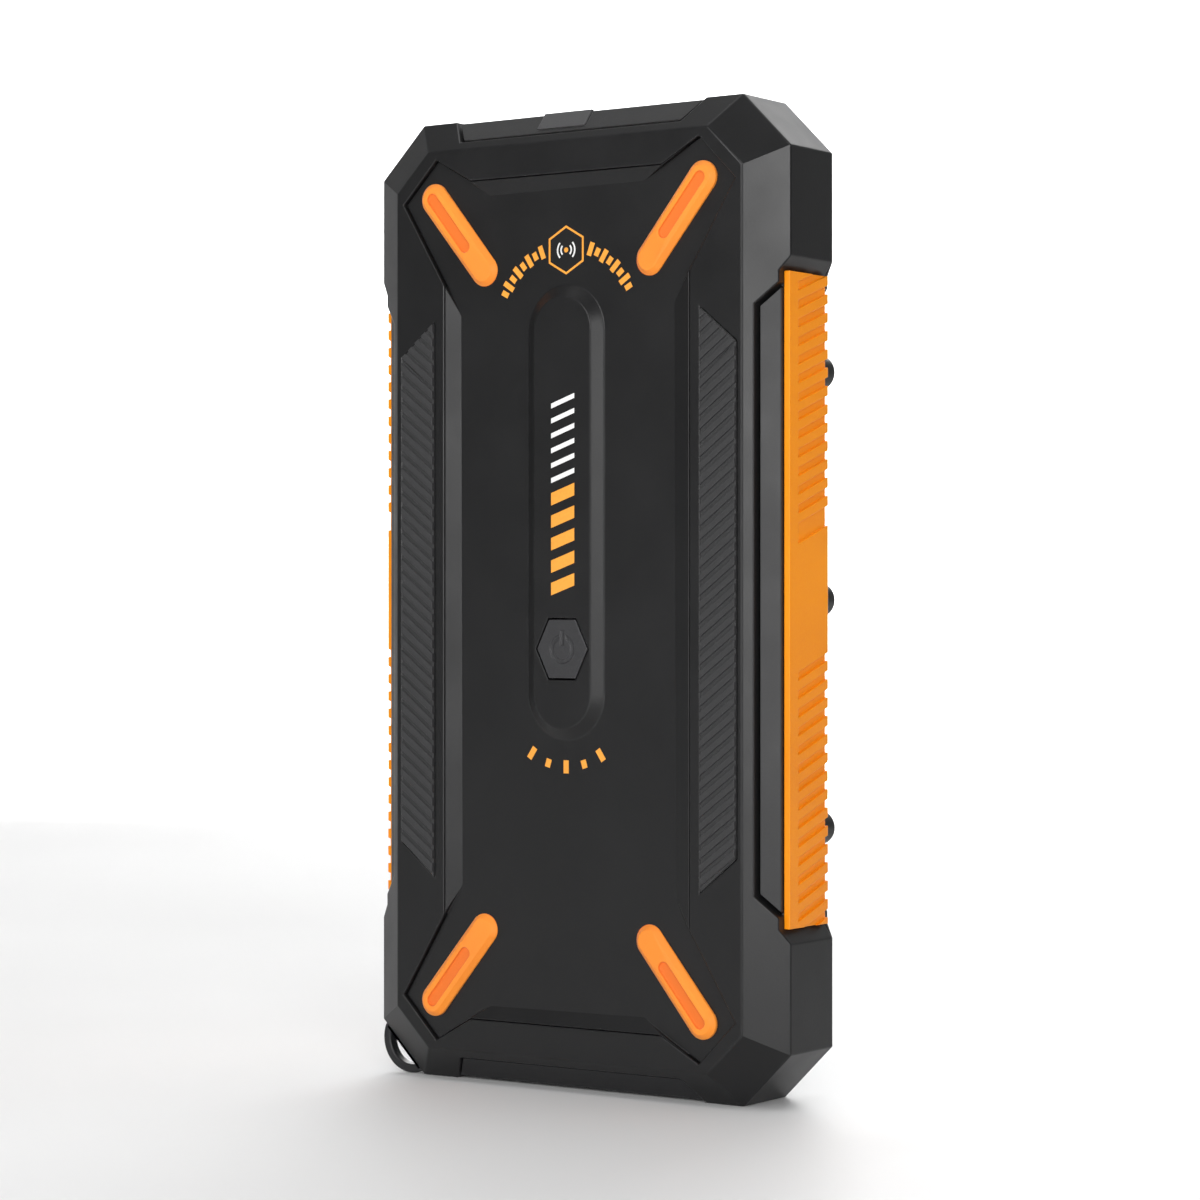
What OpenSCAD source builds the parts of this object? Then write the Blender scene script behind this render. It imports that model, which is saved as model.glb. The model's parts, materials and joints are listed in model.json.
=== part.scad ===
// Rugged solar power bank with a wireless charging face and a solar face.
// It stands on its bottom end: +Z up, charging face towards -Y, solar face towards +Y,
// origin at the middle of the bottom end. Inside the modules, z is measured from mid-height.

/* [Body] */
// Width over the side walls
body_w = 76; // [75:0.5:78]
// Height over the two ends
body_h = 150; // [149:0.5:153]
// Thickness between the two faces
body_t = 20; // [20:0.1:20.6]
// Width of the flat band round the side wall
band_w = 12; // [11.6:0.1:12.4]
// Width of the bevel along the long sides
side_bevel = 6; // [5.8:0.1:6.2]
// Height of the bevel along the two ends
end_bevel = 5; // [4.8:0.1:5.2]
// Leg of the corner chamfer at the wall
corner_cut = 8.2; // [8:0.1:8.4]
// Leg of the corner chamfer at the face
face_corner_cut = 6.1; // [6:0.1:6.3]
// Thickness of the shell walls
wall = 1.8; // [1.7:0.1:1.9]

/* [Charging face] */
// Depth of the X-shaped charging panel below the face
panel_depth = 0.7; // [0.6:0.05:0.8]
// Height of pads, grips and centre bar above the face
face_proud = 0.5; // [0.4:0.05:0.6]
// Width of one corner pad
pad_w = 4.9; // [4.6:0.1:5.2]
// Pitch of the ribs on the grips
grip_pitch = 2.05; // [1.9:0.05:2.2]
// Half-width of the centre bar at its foot
bar_half_w = 7.05; // [6.8:0.05:7.3]
// Travel of the power button
button_travel = 0.5; // [0.4:0.1:0.5]

/* [Side strips] */
// Width of an orange strip
strip_w = 11; // [10.6:0.1:11.4]
// Height of an orange strip
strip_h = 96.8; // [96:0.2:97]
// Pitch of the ribs on a strip
strip_pitch = 2.74; // [2.6:0.02:2.9]

/* [Battery] */
// Width of a pouch cell
cell_w = 60; // [56:0.5:60.5]
// Height of a pouch cell
cell_h = 96; // [90:1:97]
// Thickness of a pouch cell
cell_t = 4.5; // [4.2:0.1:4.6]

/* [Solar panel] */
// Width of the clear window
window_w = 59.8; // [59:0.1:60]
// Height of the clear window
window_h = 133.4; // [133:0.1:134]
// Rows of solar cells
cell_rows = 11; // [9:1:13]
// Pitch of the rows
row_pitch = 11.82; // [9:0.02:11.9]
// Width of one solar cell
solar_cell_w = 26.4; // [24:0.1:27]

/* [Ports] */
// Outer width of a USB-A socket
usb_a_w = 13.1; // [13:0.05:13.2]
// Outer height of a USB-A socket
usb_a_t = 5.7; // [5.6:0.05:5.8]
// Outer width of the USB-C socket
usb_c_w = 8.94; // [8.9:0.02:9]
// Outer height of the USB-C socket
usb_c_t = 3.2; // [3.1:0.05:3.3]

/* [Fasteners] */
// Head diameter of the housing screws
screw_head_d = 3.9; // [3.8:0.05:4]
// Shank diameter of the housing screws
screw_d = 1.9; // [1.8:0.05:1.9]
// Outer diameter of the threaded inserts
insert_d = 2.8; // [2.7:0.05:2.8]

/* [Hidden] */
$fn = 48;
big = 200;
eps = 0.05;
gap = 0.3;
// Half-sizes of the wall, the face and the corner cut, all from the middle of the body
half_w = body_w / 2;
half_h = body_h / 2;
half_t = body_t / 2;
half_band = band_w / 2;
face_w = half_w - side_bevel;
face_h = half_h - end_bevel;
half_d = (half_w + half_h - corner_cut) / sqrt(2);
face_d = (face_w + face_h - face_corner_cut) / sqrt(2);
// Plane where the front shell meets the rear frame, and the inner side of the charging face
parting_y = half_band;
inner_y = -7.5;
// Charging panel: floor, back, and the half-sizes of its flat floor and of its outline
panel_floor = -half_t + panel_depth;
panel_back = panel_floor + 1;
floor_x = 20;
floor_z = 62.8;
slope_x = 22.8;
slope_z = 65;
arm_side = [30.8, 62.1];
arm_tip = [24.4, 68.7];
arm_top_x = 17.8;
waist_side_z = 49;
face_top = -half_t - face_proud;
bar_top = face_top + 0.06;
// Waist on both long sides: bevel cut and band cut
waist_x = 33.5;
waist_z = 43.5;
rail_x = half_w - 1.5;
strip_x = half_w - 0.5;
waist_band_z = 48.4;
rail_seat_x = 35.6;
rail_leg_y = 5.6;
cavity_waist_x = 31;
end_block_z = 67.8;
// Recess in both ends and the floor of that recess
recess_z = 71.3;
recess_foot = 20.5;
recess_mouth = 24;
// Power button
button_z = -7.45;
button_r = [4.65, 2.45, 4.45];
flange_r = 5.3;
// Port cover hinge, and the depth where the cover's sloping ends give way to its hinge strip
hinge_y = 5;
hinge_z = 73.7;
hinge_r = 1.2;
hinge_strip_y = 2.2;
hinge_back_y = 6.7;
// Ports
usb_a_x = 13;
usb_a_y = -1.6;
usb_c_y = -0.35;
port_mouth_z = 71.1;
// Screws: corners by the chamfers, three along each side
corner_screw = [31.5, 69.1];
side_screw_x = 33.8;
side_screw_z = [-34.3, 0, 34.3];
side_seat_y = 7.9;
corner_seat_y = 6.9;
insert_y = [1.9, 5.9];
boss_r = 2.6;
// Solar panel
window_y = 9.4;
ledge_y = 7.2;
ledge_w = 1.8;
window_cut = 4.45;
solar_cell_h = 11.2;
column_x = 15.5;
// Lanyard loop: place along the corner wall, distance out, radii and depth
loop_along = 26.16;
loop_out = 72.27;
loop_r = [4, 5.38];
loop_y = [-6, -4.2];
// Layers between the faces
coil_y = [-7.4, -6.5];
ferrite_y = [-6.4, -5.9];
front_cell_y = -5.1;
rear_cell_y = -0.4;
battery_z = -3.5;
board_y = [1.3, 2.5];
// Heights of the five indicator lights
indicator_z = [for (i = [0:4]) -54.5 - 2.35 * i];
// Rise of a strip rib over its length, and the inner edge of the plain margin
strip_rise = 3.5;
strip_edge_y = -3;
// Pad on an arm: centre of its inner end, length between end centres, tilt from upright
pad_inner = [15.4, 51];
pad_length = 15;
pad_angle = 39.3;
// Top of the battery cells
cell_top = battery_z + cell_h / 2;
// Turns of the charging coil
coil_turns = 9;
// Half-spacing of the torch lights, and the outer side of the lens
torch_half = 5;
torch_z = -half_h + 0.4;
// Heights of the rows of solar cells
row_z = [for (i = [0:cell_rows - 1]) (i - (cell_rows - 1) / 2) * row_pitch];
// Colours
shell_black = [0.11, 0.11, 0.115];
rail_grey = [0.17, 0.17, 0.175];
strip_orange = [1, 0.53, 0];
pad_orange = [1, 0.6, 0.18];
rubber_black = [0.07, 0.07, 0.07];
board_green = [0.05, 0.25, 0.12];
metal = [0.75, 0.76, 0.78];

// Places a shape whose z is measured from mid-height, with the two faces' outermost
// points at equal distances from the origin.
module centred() translate([0, face_proud / 2, half_h]) children();

// Mirrored pairs
module both_sides() {
    children();
    mirror([1, 0, 0]) children();
}
module both_ends() {
    children();
    mirror([0, 0, 1]) children();
}

// A shape drawn in X and Z, standing between two depths
module slice(y0, y1) translate([0, y1, 0]) rotate([90, 0, 0]) linear_extrude(height = y1 - y0) children();

// Half-thickness profile of a bevelled slab: r at the wall, f at the face
module slab_profile(r, f, band, t)
    polygon([[-r, -band], [-f, -t], [f, -t], [r, -band], [r, band], [f, t], [-f, t], [-r, band]]);

module slab_prism(r, f, inset)
    linear_extrude(height = big, center = true)
        slab_profile(r - inset, f - 0.3 * inset, half_band - 0.54 * inset, half_t - inset);

// The eight-sided body with its bevels and corner facets, moved in by inset
module slab(inset = 0) intersection() {
    slab_prism(half_w, face_w, inset);
    rotate([0, 90, 0]) slab_prism(half_h, face_h, inset);
    rotate([0, 45, 0]) slab_prism(half_d, face_d, inset);
    rotate([0, -45, 0]) slab_prism(half_d, face_d, inset);
}

// The space between two depths
module layer(y0, y1) translate([-big / 2, y0, -big / 2]) cube([big, y1 - y0, big]);

// A box between two corners
module box(low, high) translate(low) cube(high - low);

// Outline of the waist on the +X side: lower half-height z_in at x_in, z_out at x_out
module waist_outline(x_in, z_in, x_out, z_out)
    polygon([[x_in, -z_in], [x_in, z_in], [x_out, z_out], [x_out + 9, z_out],
        [x_out + 9, -z_out], [x_out, -z_out]]);

// Space that the rail and strip take from the body on the +X side
module waist_cut(side_x) {
    slice(-half_t - 1, -rail_leg_y) waist_outline(waist_x, waist_z, half_w, 48.3);
    slice(parting_y, half_t + 1) waist_outline(waist_x, waist_z, half_w, 48.3);
    slice(-half_t - 1, half_t + 1) waist_outline(rail_x, waist_band_z, half_w + eps, 50.6);
    slice(-rail_leg_y - eps, parting_y) waist_outline(side_x, 46, rail_x, 46);
}

// Recess that the port cover and the torch bezel fill
module recess_outline(grow = 0)
    polygon([[-recess_foot - grow, recess_z - grow], [recess_foot + grow, recess_z - grow],
        [recess_mouth + grow, half_h + 1], [-recess_mouth - grow, half_h + 1]]);

module hinge_strip_outline(grow = 0) translate([-recess_foot - grow, recess_z - grow])
    square([2 * (recess_foot + grow), half_h - recess_z + 1]);

// Recess for the port cover: sloping ends in front, straight ends along the hinge
module cover_recess() {
    slice(-half_t - 1, hinge_strip_y) recess_outline();
    slice(hinge_strip_y - eps, hinge_back_y) hinge_strip_outline();
}

// Shallow hollow in the solar side's end bevel
module bevel_hollow() difference() {
    slice(parting_y - eps, half_t + 1) recess_outline();
    slab(0.8);
}

// Round bar along Y
module pin_y(x, z, r, y0, y1) translate([x, y0, z]) rotate([-90, 0, 0]) cylinder(r = r, h = y1 - y0);

// Places of the screws, as pairs [x, z]
corner_places = [for (sx = [-1, 1], sz = [-1, 1]) [sx * corner_screw[0], sz * corner_screw[1]]];
side_places = [for (sx = [-1, 1], z = side_screw_z) [sx * side_screw_x, z]];

// ---------- Housing ----------

// Points of one quarter of an outline, repeated in the other three quarters
function four_way(q) = let (n = len(q) - 1) concat(q, [for (i = [n:-1:0]) [-q[i][0], q[i][1]]],
    [for (p = q) [-p[0], -p[1]]], [for (i = [n:-1:0]) [q[i][0], -q[i][1]]]);

module panel_outline(inset = 0)
    polygon(four_way([[slope_x - inset, waist_side_z],
        [arm_side[0] - 1.2 * inset, arm_side[1] - 0.2 * inset],
        [arm_tip[0] - 0.2 * inset, arm_tip[1] - 1.2 * inset],
        [arm_top_x, slope_z - inset]]));

module window_outline(inset = 0)
    polygon(four_way([[window_w / 2 - inset, window_h / 2 - window_cut],
        [window_w / 2 - window_cut, window_h / 2 - inset]]));

// Trapezium of a grip on the +X side
module grip_outline(grow = 0)
    polygon([[24.8 - grow, -43.2 - grow], [31 + grow, -38 - grow],
        [31 + grow, 38 + grow], [24.8 - grow, 43.2 + grow]]);

// Path of the seal between the two shells: inside the side screws, outside the corner screws
// and below the end recesses
module seal_outline(grow)
    polygon(four_way([[31.6 + grow, 46], [36.9 + grow, 51.5], [36.9 + grow, 66.6 + 0.4 * grow],
        [29.6 + 0.4 * grow, 73.9 + grow], [26.6, 73.9 + grow], [23.2, 69.1 + grow]]));

// Hollow between the two faces, with solid side walls at the waist and solid end blocks
module cavity() difference() {
    intersection() {
        slab(wall);
        layer(inner_y, parting_y + 1);
    }
    both_sides() box([cavity_waist_x, -half_t, -51], [half_w, half_t, 51]);
    both_ends() box([-26.5, -half_t, end_block_z], [26.5, half_t, half_h]);
    for (p = corner_places) pin_y(p[0], p[1], boss_r + 0.2, inner_y - 1, half_t);
}

module usb_a_slots() for (x = [-usb_a_x, usb_a_x])
    box([x - usb_a_w / 2 - 0.1, usb_a_y - usb_a_t / 2 - 0.1, end_block_z - 1],
        [x + usb_a_w / 2 + 0.1, usb_a_y + usb_a_t / 2 + 0.1, half_h]);

// Rounded block along Z for the USB-C socket and its slot
module usb_c_block(grow, z0, z1) {
    r = usb_c_t / 2 + grow;
    flat = usb_c_w / 2 - usb_c_t / 2;
    box([-flat, usb_c_y - r, z0], [flat, usb_c_y + r, z1]);
    both_sides() translate([flat, usb_c_y, z0]) cylinder(r = r, h = z1 - z0);
}

// Round bar along the hinge axis of the port cover
module hinge_bar(r, half_length)
    translate([-half_length, hinge_y, hinge_z]) rotate([0, 90, 0]) cylinder(r = r, h = 2 * half_length);

// Seat of the hinge pin, open towards the rear frame
module hinge_seat() {
    hinge_bar(0.61, 22.3);
    box([-22.3, hinge_y, hinge_z - 0.61], [22.3, parting_y + eps, hinge_z + 0.61]);
}

// Pocket and light holes for the charge indicator in the -X wall
module indicator_pocket() {
    translate([-half_w - 1, 0, -59.3]) rotate([90, 0, 90]) linear_extrude(height = 2)
        polygon(four_way([[3.2, 6.2], [2.2, 7.2]]));
    for (z = indicator_z) translate([-half_w - 1, 0, z]) rotate([0, 90, 0]) cylinder(r = 0.6, h = 4);
}

// Foot of the lanyard loop, in the wall of the lower -X corner
module loop_foot(grow = 0) rotate([0, 45, 0])
    box([loop_along - 3.6 - grow, loop_y[0] - grow, -half_d - grow],
        [loop_along + 3.6 + grow, loop_y[1] + grow, -half_d + 1 + grow]);

module front_shell() color(shell_black) centred() difference() {
    intersection() {
        slab();
        layer(-half_t, parting_y);
    }
    cavity();
    both_sides() waist_cut(rail_seat_x);
    cover_recess();
    mirror([0, 0, 1]) slice(-half_t - 1, parting_y + 1) recess_outline();
    slice(-half_t - 1, panel_back) panel_outline();
    both_sides() slice(-half_t - 1, -half_t + 0.4) grip_outline(0.1);
    pin_y(0, button_z, flange_r + gap, panel_back - eps, inner_y + eps);
    usb_a_slots();
    usb_c_block(0.1, end_block_z - 1, half_h);
    box([-10.6, -4.4, -half_h], [10.6, 4.4, -end_block_z + 1]);
    hinge_seat();
    for (p = corner_places) pin_y(p[0], p[1], insert_d / 2 + 0.01, insert_y[0] - 3, parting_y + 1);
    for (p = side_places) pin_y(p[0], p[1], insert_d / 2 + 0.01, insert_y[0] - 3, parting_y + 1);
    indicator_pocket();
    loop_foot(0.05);
}

module rear_frame() color(shell_black) centred() difference() {
    union() {
        difference() {
            intersection() {
                slab();
                layer(parting_y, half_t);
            }
            both_sides() waist_cut(rail_seat_x);
        }
        for (p = side_places) pin_y(p[0], p[1], boss_r, parting_y + eps, half_t - 0.6);
    }
    cover_recess();
    both_ends() bevel_hollow();
    slice(ledge_y, half_t + 1) window_outline();
    slice(parting_y - 1, ledge_y + 1) window_outline(ledge_w);
    for (p = corner_places) {
        pin_y(p[0], p[1], screw_head_d / 2 + 0.45, corner_seat_y, half_t + 1);
        translate([p[0], 0, p[1]]) rotate([0, 90 * sign(p[0]) - 45, 0])
            box([0, corner_seat_y + 0.4, 0], [2.2, half_t + 1, 2.2]);
        pin_y(p[0], p[1], screw_d / 2 + 0.15, parting_y - 1, half_t);
    }
    for (p = side_places) {
        pin_y(p[0], p[1], screw_head_d / 2 + 0.15, side_seat_y, half_t + 1);
        pin_y(p[0], p[1], screw_d / 2 + 0.15, parting_y - 1, half_t);
    }
    slice(parting_y - 1, parting_y + 0.5) difference() {
        seal_outline(0.4);
        seal_outline(-0.4);
    }
}

module shell_gasket() color(rubber_black) centred() slice(parting_y, parting_y + 0.45) difference() {
    seal_outline(0.33);
    seal_outline(-0.33);
}

// Channel that wraps the waist on the +X side
module side_rail() difference() {
    intersection() {
        linear_extrude(height = body_h, center = true)
            polygon([[33.8, -7.85], [rail_x - 0.1, -6.05], [rail_x - 0.1, 6.05], [33.8, 7.85],
                [33.8, parting_y + eps], [rail_seat_x + 0.1, parting_y + eps],
                [rail_seat_x + 0.1, -rail_leg_y - eps], [33.8, -rail_leg_y - eps]]);
        slice(-half_t, half_t) waist_outline(33.8, 43.2, half_w, 47.7);
    }
    for (z = side_screw_z) pin_y(side_screw_x, z, boss_r + 0.2, parting_y - 0.5, half_t);
}

module side_rail_right() color(rail_grey) centred() side_rail();
module side_rail_left() color(rail_grey) centred() mirror([1, 0, 0]) side_rail();

// A shape drawn in Y and Z, standing between two widths
module side_slice(x0, x1)
    translate([x0, 0, 0]) rotate([90, 0, 90]) linear_extrude(height = x1 - x0) children();

// Parallelogram that rises by rise between two edges
module slant(a0, a1, z0, z1, rise) polygon([[a0, z0], [a1, z0 + rise], [a1, z1 + rise], [a0, z1]]);

// Strip with a plain edge, slanting ribs and a plain field in the middle
module side_strip() {
    side_slice(rail_x, strip_x - 0.5) square([strip_w, strip_h], center = true);
    side_slice(rail_x, strip_x) intersection() {
        square([strip_w, strip_h], center = true);
        union() {
            translate([-strip_w / 2, -strip_h / 2]) square([strip_w / 2 + strip_edge_y, strip_h]);
            for (i = [-20:18]) if (abs(i + 0.7) > 4)
                slant(strip_edge_y - 1, strip_w / 2 + 1, i * strip_pitch, i * strip_pitch + 1.5, strip_rise);
            slant(strip_edge_y - 1, strip_w / 2 + 1, -11, 8, strip_rise);
        }
    }
}

module side_strip_right() color(strip_orange) centred() side_strip();
module side_strip_left() color(strip_orange) centred() rotate([0, 0, 180]) side_strip();

// ---------- Charging face ----------

// Bar with round ends along Z, half-width r0 at depth y0 and r1 at depth y1
module round_bar(z0, z1, r0, r1, y0, y1) {
    translate([0, 0, z0]) linear_extrude(height = z1 - z0)
        polygon([[-r0, y0], [-r1, y1], [r1, y1], [r0, y0]]);
    for (z = [z0, z1]) translate([0, y0, z]) rotate([90, 0, 0]) cylinder(h = y0 - y1, r1 = r0, r2 = r1);
}

module badge(grow = 0) translate([0, button_z])
    polygon([for (s = [-1, 1]) each [[s * (button_r[0] + grow), 0],
        [s * (button_r[1] + grow / 2), s * (button_r[2] + grow)],
        [-s * (button_r[1] + grow / 2), s * (button_r[2] + grow)]]]);

// Slope from the flat floor of the panel up to the face, as a profile over one direction
module floor_profile(flat, edge)
    polygon([[-flat, panel_floor], [flat, panel_floor],
        [2 * edge - flat, panel_floor - 2 * panel_depth],
        [flat - 2 * edge, panel_floor - 2 * panel_depth]]);

module charging_panel() color(shell_black) centred() difference() {
    union() {
        difference() {
            slice(-half_t + 0.05, panel_back) panel_outline(0.08);
            intersection() {
                linear_extrude(height = big, center = true) floor_profile(floor_x, slope_x);
                rotate([0, 90, 0]) linear_extrude(height = big, center = true)
                    floor_profile(floor_z, slope_z);
            }
            slice(-half_t - 1, panel_floor)
                polygon(four_way([[floor_x, 44.5], [32, 64.1], [32, 71], [28.3, 71], [14.5, floor_z]]));
        }
        round_bar(-21.4 + bar_half_w, 48 - bar_half_w, bar_half_w, bar_half_w - 1.8, panel_floor, bar_top);
    }
    slice(face_top - 1, panel_back) badge(0.25);
    pin_y(0, button_z, flange_r + gap, panel_back - 0.7, panel_back + 1);
}

module grip() {
    slice(-half_t - 0.15, -half_t + 0.4) grip_outline();
    slice(face_top, -half_t) intersection() {
        grip_outline();
        for (i = [-25:21]) slant(24, 32, i * grip_pitch, i * grip_pitch + 1.25, 6);
    }
}

module grip_right() color(rubber_black) centred() grip();
module grip_left() color(rubber_black) centred() mirror([1, 0, 0]) grip();

// Pad that lies along one arm of the panel, its outer end towards the corner
module corner_pad() translate([pad_inner[0], 0, pad_inner[1]]) rotate([0, pad_angle, 0]) difference() {
    round_bar(0, pad_length, pad_w / 2, pad_w / 2 - 0.5, panel_floor - eps, face_top);
    round_bar(5, pad_length, 0.7, 0.9, face_top + 0.55, face_top - 0.1);
}

module pad_upper_right() color(pad_orange) centred() corner_pad();
module pad_upper_left() color(pad_orange) centred() mirror([1, 0, 0]) corner_pad();
module pad_lower_right() color(pad_orange) centred() mirror([0, 0, 1]) corner_pad();
module pad_lower_left() color(pad_orange) centred() rotate([0, 180, 0]) corner_pad();

// Hexagonal cap with a power mark, a flange that keeps it in, and a stem
module power_button() color(rail_grey) centred() difference() {
    union() {
        slice(bar_top, panel_back - 0.4) badge();
        pin_y(0, button_z, flange_r, panel_back - 0.45, panel_back - 0.1);
        pin_y(0, button_z, 1.2, panel_back - 0.2, panel_back + 0.2);
    }
    translate([0, face_top - eps, button_z]) rotate([-90, 0, 0]) difference() {
        cylinder(r = 2.2, h = 0.25);
        translate([0, 0, -1]) cylinder(r = 1.6, h = 2);
        translate([-0.7, -3, -1]) cube([1.4, 3, 2]);
    }
    box([-0.3, face_top - 1, button_z + 0.6], [0.3, face_top + 0.2, button_z + 2.8]);
}

module button_switch() color(metal) centred() {
    box([-2, -7, button_z - 2], [2, -5.8, button_z + 2]);
    pin_y(0, button_z, 1, panel_back + 0.2 + button_travel + gap, -7);
}

module switch_board() color(board_green) centred() box([-4, -5.8, button_z - 4], [4, -5.4, button_z + 4]);

// ---------- Port cover ----------

module pull_tab_block(grow) box([-6.4 - grow, -half_t, recess_z + 1 - grow], [2.5 + grow, -5.4, half_h + 1]);

module port_cover() color(rubber_black) centred() difference() {
    union() {
        intersection() {
            slab(gap);
            union() {
                slice(-half_t, hinge_strip_y - gap) recess_outline(-gap);
                slice(-half_t, hinge_y) hinge_strip_outline(-gap);
            }
        }
        hinge_bar(hinge_r, recess_foot - gap);
        for (x = [-usb_a_x, usb_a_x]) box([x - 5.4, -3.6, port_mouth_z - 0.7], [x + 5.4, 0.4, recess_z + 1]);
        box([-3, -1.1, port_mouth_z - 0.6], [3, 0.4, recess_z + 1]);
    }
    hinge_bar(0.65, half_w);
    pull_tab_block(0.05);
}

module cover_pull_tab() color(rail_grey) centred() intersection() {
    slab(0.05);
    pull_tab_block(0);
    layer(-half_t, -5.45);
}

module cover_hinge_pin() color(metal) centred() hinge_bar(0.6, 22.2);

// ---------- Boards and sockets ----------

module main_board() color(board_green) centred() box([-25.5, board_y[0], 50], [25.5, board_y[1], 67.5]);

// Socket shell of folded sheet, open at its mouth
module usb_a_shell(x) difference() {
    box([x - usb_a_w / 2, usb_a_y - usb_a_t / 2, port_mouth_z - 14],
        [x + usb_a_w / 2, usb_a_y + usb_a_t / 2, port_mouth_z]);
    box([x - usb_a_w / 2 + 0.3, usb_a_y - usb_a_t / 2 + 0.3, port_mouth_z - 13.5],
        [x + usb_a_w / 2 - 0.3, usb_a_y + usb_a_t / 2 - 0.3, port_mouth_z + 1]);
}
module usb_a_tongue(x) {
    box([x - 5.6, usb_a_y + 0.3, port_mouth_z - 12.5], [x + 5.6, usb_a_y + 2.1, port_mouth_z - 1.2]);
    box([x - 6, usb_a_y - 2.4, port_mouth_z - 13.45], [x + 6, usb_a_y + 2.4, port_mouth_z - 12.5]);
}

module usb_a_shell_left() color(metal) centred() usb_a_shell(-usb_a_x);
module usb_a_shell_right() color(metal) centred() usb_a_shell(usb_a_x);
module usb_a_tongue_left() color(strip_orange) centred() usb_a_tongue(-usb_a_x);
module usb_a_tongue_right() color(strip_orange) centred() usb_a_tongue(usb_a_x);

module usb_c_shell() color(metal) centred() difference() {
    usb_c_block(0, port_mouth_z - 7.4, port_mouth_z);
    usb_c_block(-0.3, port_mouth_z - 7, port_mouth_z + 1);
}

module usb_c_tongue() color(rubber_black) centred() {
    box([-3.3, usb_c_y - 0.35, port_mouth_z - 6], [3.3, usb_c_y + 0.35, port_mouth_z - 1]);
    box([-3.3, usb_c_y - 1.2, port_mouth_z - 6.95], [3.3, usb_c_y + 1.2, port_mouth_z - 6]);
}

module controller_chip() color(rubber_black) centred() box([-3, board_y[1], 58], [3, board_y[1] + 0.9, 64]);

module power_inductors() color(rail_grey) centred() for (x = [-11, 11])
    box([x - 3.5, board_y[1], 56], [x + 3.5, board_y[1] + 3, 63]);

module filter_capacitors() color(strip_orange) centred() for (x = [-20, -17.5, 17.5, 20])
    box([x - 0.6, board_y[1], 52], [x + 0.6, board_y[1] + 1.2, 54.2]);

// ---------- Battery ----------

module battery_cell(y0)
    box([-cell_w / 2, y0, battery_z - cell_h / 2], [cell_w / 2, y0 + cell_t, battery_z + cell_h / 2]);
module battery_cell_front() color(metal) centred() battery_cell(front_cell_y);
module battery_cell_rear() color(metal) centred() battery_cell(rear_cell_y);

module cell_tabs() color(metal) centred() for (x = [-14, 10], y = [front_cell_y, rear_cell_y])
    box([x, y + 2, cell_top], [x + 4, y + 2.2, cell_top + 0.8]);

module protection_board() color(board_green) centred()
    box([-20, front_cell_y, cell_top + 0.8], [20, rear_cell_y + 3.5, cell_top + 1.8]);

module battery_foam() color(rubber_black) centred()
    box([-24, rear_cell_y + cell_t, battery_z - 45], [24, 7.4, battery_z + 45]);

module battery_leads() color(strip_orange) centred() for (x = [-18, 18])
    translate([x, 1.9, cell_top + 1.8]) cylinder(r = 0.55, h = 50 - cell_top - 1.8);

// ---------- Wireless charging ----------

module charging_coil() color([0.72, 0.4, 0.2]) centred() for (i = [0:coil_turns - 1])
    translate([0, (coil_y[0] + coil_y[1]) / 2, 0]) rotate([90, 0, 0]) rotate_extrude()
        translate([12.5 + i * 1.1, 0]) circle(r = 0.42);

module ferrite_sheet() color(rail_grey) centred() difference() {
    box([-24, ferrite_y[0], -24], [24, ferrite_y[1], 24]);
    pin_y(0, button_z, 3.4, ferrite_y[0] - 1, ferrite_y[1] + 1);
}

// ---------- Solar panel ----------

module window_gasket() color(rubber_black) centred() slice(ledge_y, ledge_y + 0.3) difference() {
    window_outline(0.3);
    window_outline(1.5);
}

module solar_board() color([0.06, 0.07, 0.1]) centred()
    slice(ledge_y + 0.3, ledge_y + 1.1) window_outline(0.1);

module solar_cells() color([0.05, 0.06, 0.09]) centred() intersection() {
    for (x = [-column_x, column_x], z = row_z)
        box([x - solar_cell_w / 2, ledge_y + 1.1, z - solar_cell_h / 2],
            [x + solar_cell_w / 2, ledge_y + 1.25, z + solar_cell_h / 2]);
    slice(ledge_y, half_t) window_outline(0.5);
}

module cell_ribbons() color(metal) centred() for (x = [-column_x, column_x], dx = [-7, 7])
    box([x + dx - 0.4, ledge_y + 1.25, row_z[0] - 5],
        [x + dx + 0.4, ledge_y + 1.3, row_z[cell_rows - 1] + 5]);

module solar_window() color([0.2, 0.22, 0.26, 0.35]) centred()
    slice(ledge_y + 1.35, window_y) window_outline(0.1);

module solar_leads() color(strip_orange) centred() for (x = [-22, 22])
    pin_y(x, 57, 0.5, board_y[1], ledge_y + 0.3);

// ---------- Fasteners ----------

// Button-head screw along Y, its head's seat at y
module screw(p, y, length) difference() {
    union() {
        pin_y(p[0], p[1], screw_head_d / 2, y, y + 1.15);
        pin_y(p[0], p[1], screw_d / 2, y - length, y + 0.1);
    }
    translate([p[0], y + 0.4, p[1]]) rotate([-90, 0, 0]) cylinder(r = 0.85, h = 2, $fn = 6);
}

module corner_screws() color(metal) centred() for (p = corner_places) screw(p, corner_seat_y, 5);
module side_screws() color(metal) centred() for (p = side_places) screw(p, side_seat_y, 6);

module screw_inserts() color([0.8, 0.62, 0.3]) centred()
    for (p = concat(corner_places, side_places)) difference() {
        pin_y(p[0], p[1], insert_d / 2, insert_y[0], insert_y[1]);
        pin_y(p[0], p[1], screw_d / 2 + 0.03, insert_y[0] - 1, insert_y[1] + 1);
    }

// ---------- Torch in the bottom end ----------

// Slot shape with round ends along X, standing along Z
module torch_slot(half, r, z0, z1) {
    translate([0, 0, z0]) linear_extrude(height = z1 - z0) square([2 * half, 2 * r], center = true);
    for (x = [-half, half]) translate([x, 0, z0]) cylinder(r = r, h = z1 - z0);
}

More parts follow.
